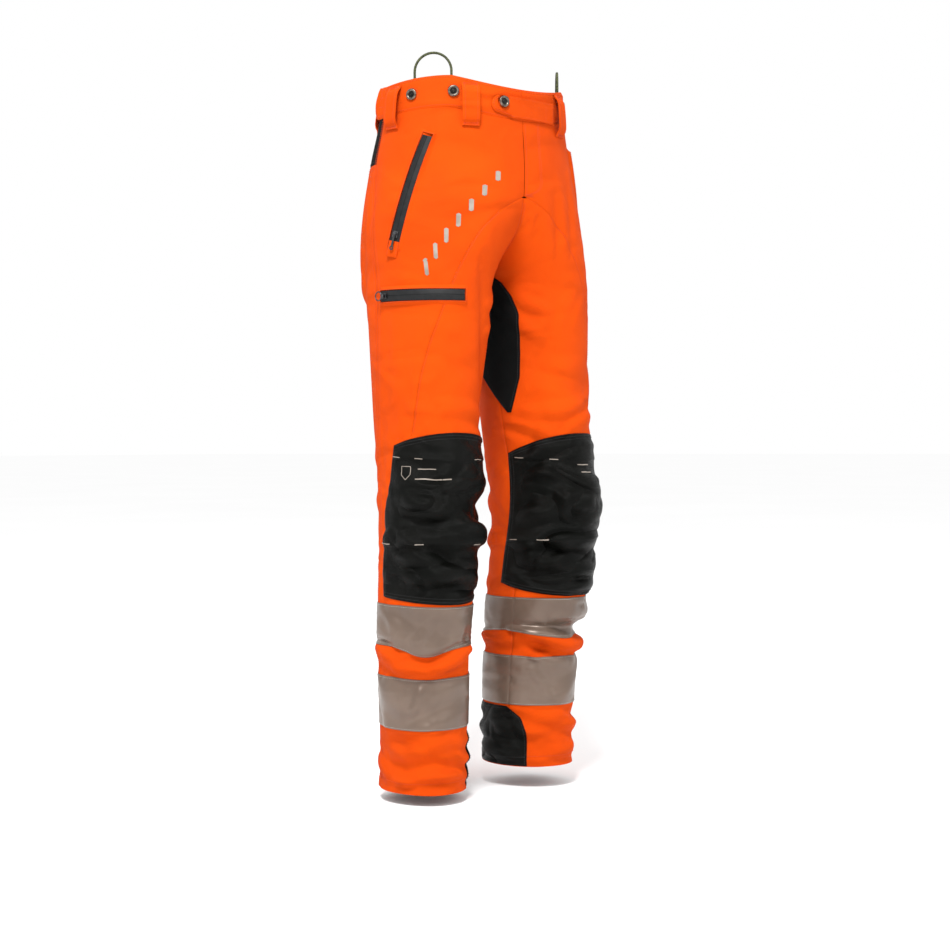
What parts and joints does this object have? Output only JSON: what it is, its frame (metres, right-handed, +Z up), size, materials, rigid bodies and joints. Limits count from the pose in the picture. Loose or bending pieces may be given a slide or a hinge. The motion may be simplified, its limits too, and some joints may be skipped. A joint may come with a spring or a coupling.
{
  "type": "chainsaw_trousers",
  "caption": "Hi-vis orange chainsaw protective trousers with black knee and ankle patches, reflective shin bands, zipped hip and thigh pockets, belt loops and brace buttons",
  "frame": {"origin": "centre of the waist opening, level with the upper edge of the waistband at the side", "axes": "+Z up, the wearer faces -Y, the wearer's right is -X"},
  "size_m": [0.3897, 0.2781, 1.1069],
  "materials": {
    "orange_cloth": "hi-vis orange woven polyester and cotton, matt",
    "black_stretch": "black four-way stretch weave, matt",
    "black_ripstop": "black hard-wearing weave, matt",
    "reflective_tape": "grey-brown reflective film on cloth, satin",
    "grey_transfer": "thin grey heat-transfer film, satin",
    "saw_fibre": "layers of white long protective fibre",
    "lining_cloth": "thin dark mesh and pocket lining",
    "button_metal": "dull nickel tack button",
    "zip_metal": "dark nickel zip slider",
    "zip_tape": "matt black water-resistant coated zip tape",
    "pull_plastic": "matt black moulded pull",
    "elastic_cord": "black braided elastic cord with yellow-green flecks"
  },
  "bodies": {
    "trousers": {"front_panel_right": "orange_cloth", "front_panel_left": "orange_cloth", "inner_panel_right": "orange_cloth", "inner_panel_left": "orange_cloth", "back_panel_right": "orange_cloth", "back_panel_left": "orange_cloth", "back_yoke": "black_stretch", "gusset_right": "black_stretch", "gusset_left": "black_stretch", "waistband_right": "orange_cloth", "waistband_left": "orange_cloth", "waistband_back": "orange_cloth", "belt_loops": "orange_cloth", "closure_button": "button_metal", "brace_buttons": "button_metal", "fly_shield": "orange_cloth", "fly_zip": "zip_tape", "hip_zip_right": "zip_tape", "hip_garage_right": "orange_cloth", "hip_bag_right": "lining_cloth", "hip_zip_left": "zip_tape", "hip_garage_left": "orange_cloth", "hip_bag_left": "lining_cloth", "thigh_zip": "zip_tape", "thigh_bag": "lining_cloth", "knee_front_right": "orange_cloth", "knee_front_left": "orange_cloth", "knee_back_right": "orange_cloth", "knee_back_left": "orange_cloth", "knee_patch_right": "black_ripstop", "knee_patch_left": "black_ripstop", "saw_pad_right": "saw_fibre", "saw_pad_left": "saw_fibre", "lining_right": "lining_cloth", "lining_left": "lining_cloth", "thigh_print": "grey_transfer"},
    "lower_leg_right": {"shin_front_right": "orange_cloth", "shin_back_right": "orange_cloth", "upper_band_right": "reflective_tape", "lower_band_right": "reflective_tape", "ankle_patch_right": "black_ripstop"},
    "lower_leg_left": {"shin_front_left": "orange_cloth", "shin_back_left": "orange_cloth", "upper_band_left": "reflective_tape", "lower_band_left": "reflective_tape", "ankle_patch_left": "black_ripstop"},
    "hip_slider_body_right": {"hip_slider_right": "zip_metal"},
    "hip_pull_body_right": {"hip_pull_right": "pull_plastic"},
    "hip_slider_body_left": {"hip_slider_left": "zip_metal"},
    "hip_pull_body_left": {"hip_pull_left": "pull_plastic"},
    "thigh_slider_body": {"thigh_slider": "zip_metal"},
    "thigh_ring_body": {"thigh_ring": "zip_metal"},
    "fly_slider_body": {"fly_slider": "zip_metal"},
    "fly_pull_body": {"fly_pull": "pull_plastic"},
    "waist_tab_body": {"waist_tab": "orange_cloth"},
    "cord_loop_body_right": {"cord_loop_right": "elastic_cord"},
    "cord_loop_body_left": {"cord_loop_left": "elastic_cord"}
  },
  "joints": [
    {"name": "knee_right", "type": "hinge", "parent": "trousers", "child": "lower_leg_right", "pos_m": [-0.105, -0.008, -0.65], "axis": [1, 0, 0], "range_deg": [0, 85], "deforming": ["knee_front_right", "knee_back_right", "knee_patch_right", "saw_pad_right", "lining_right"]},
    {"name": "knee_left", "type": "hinge", "parent": "trousers", "child": "lower_leg_left", "pos_m": [0.105, -0.032, -0.65], "axis": [1, 0, 0], "range_deg": [0, 85], "deforming": ["knee_front_left", "knee_back_left", "knee_patch_left", "saw_pad_left", "lining_left"]},
    {"name": "hip_zip_right_slide", "type": "hinge", "parent": "trousers", "child": "hip_slider_body_right", "pos_m": [0.5275, 0.05544, -0.33631], "axis": [-0.0899, 0.9781, 0.1879], "range_deg": [0, 11.64]},
    {"name": "hip_pull_right_swing", "type": "hinge", "parent": "hip_slider_body_right", "child": "hip_pull_body_right", "pos_m": [-0.18785, -0.03077, -0.23985], "axis": [-0.4149, 0.8825, 0.2217], "range_deg": [0, 150]},
    {"name": "hip_zip_left_slide", "type": "hinge", "parent": "trousers", "child": "hip_slider_body_left", "pos_m": [-0.52486, 0.06709, -0.33356], "axis": [-0.1059, -0.9755, -0.1926], "range_deg": [0, 11.67]},
    {"name": "hip_pull_left_swing", "type": "hinge", "parent": "hip_slider_body_left", "child": "hip_pull_body_left", "pos_m": [0.18785, -0.03064, -0.23986], "axis": [-0.4144, -0.8821, -0.2239], "range_deg": [0, 150]},
    {"name": "thigh_zip_slide", "type": "hinge", "parent": "trousers", "child": "thigh_slider_body", "pos_m": [-0.07897, -0.00651, -0.331], "axis": [0, 0, 1], "range_deg": [0, 62]},
    {"name": "thigh_ring_swing", "type": "hinge", "parent": "thigh_slider_body", "child": "thigh_ring_body", "pos_m": [-0.19481, -0.01086, -0.331], "axis": [0, 0, 1], "range_deg": [0, 150]},
    {"name": "fly_zip_slide", "type": "slide", "parent": "trousers", "child": "fly_slider_body", "axis": [0, -0.0306, -0.9995], "range_m": [0, 0.078]},
    {"name": "fly_pull_swing", "type": "hinge", "parent": "fly_slider_body", "child": "fly_pull_body", "pos_m": [0, -0.10041, -0.08597], "axis": [-1, 0, 0], "range_deg": [0, 8]},
    {"name": "waist_tab_swing", "type": "hinge", "parent": "trousers", "child": "waist_tab_body", "pos_m": [0.07208, -0.09523, -0.04323], "axis": [0, 0, 1], "range_deg": [0, 110]},
    {"name": "cord_loop_right_fold", "type": "hinge", "parent": "trousers", "child": "cord_loop_body_right", "pos_m": [-0.12546, -0.04456, -0.00913], "axis": [-0.6499, 0.76, 0], "range_deg": [-6, 80], "stiffness_Nm_per_rad": 0.02},
    {"name": "cord_loop_left_fold", "type": "hinge", "parent": "trousers", "child": "cord_loop_body_left", "pos_m": [0.12546, -0.04456, -0.00913], "axis": [-0.6499, -0.76, 0], "range_deg": [-6, 80], "stiffness_Nm_per_rad": 0.02}
  ]
}
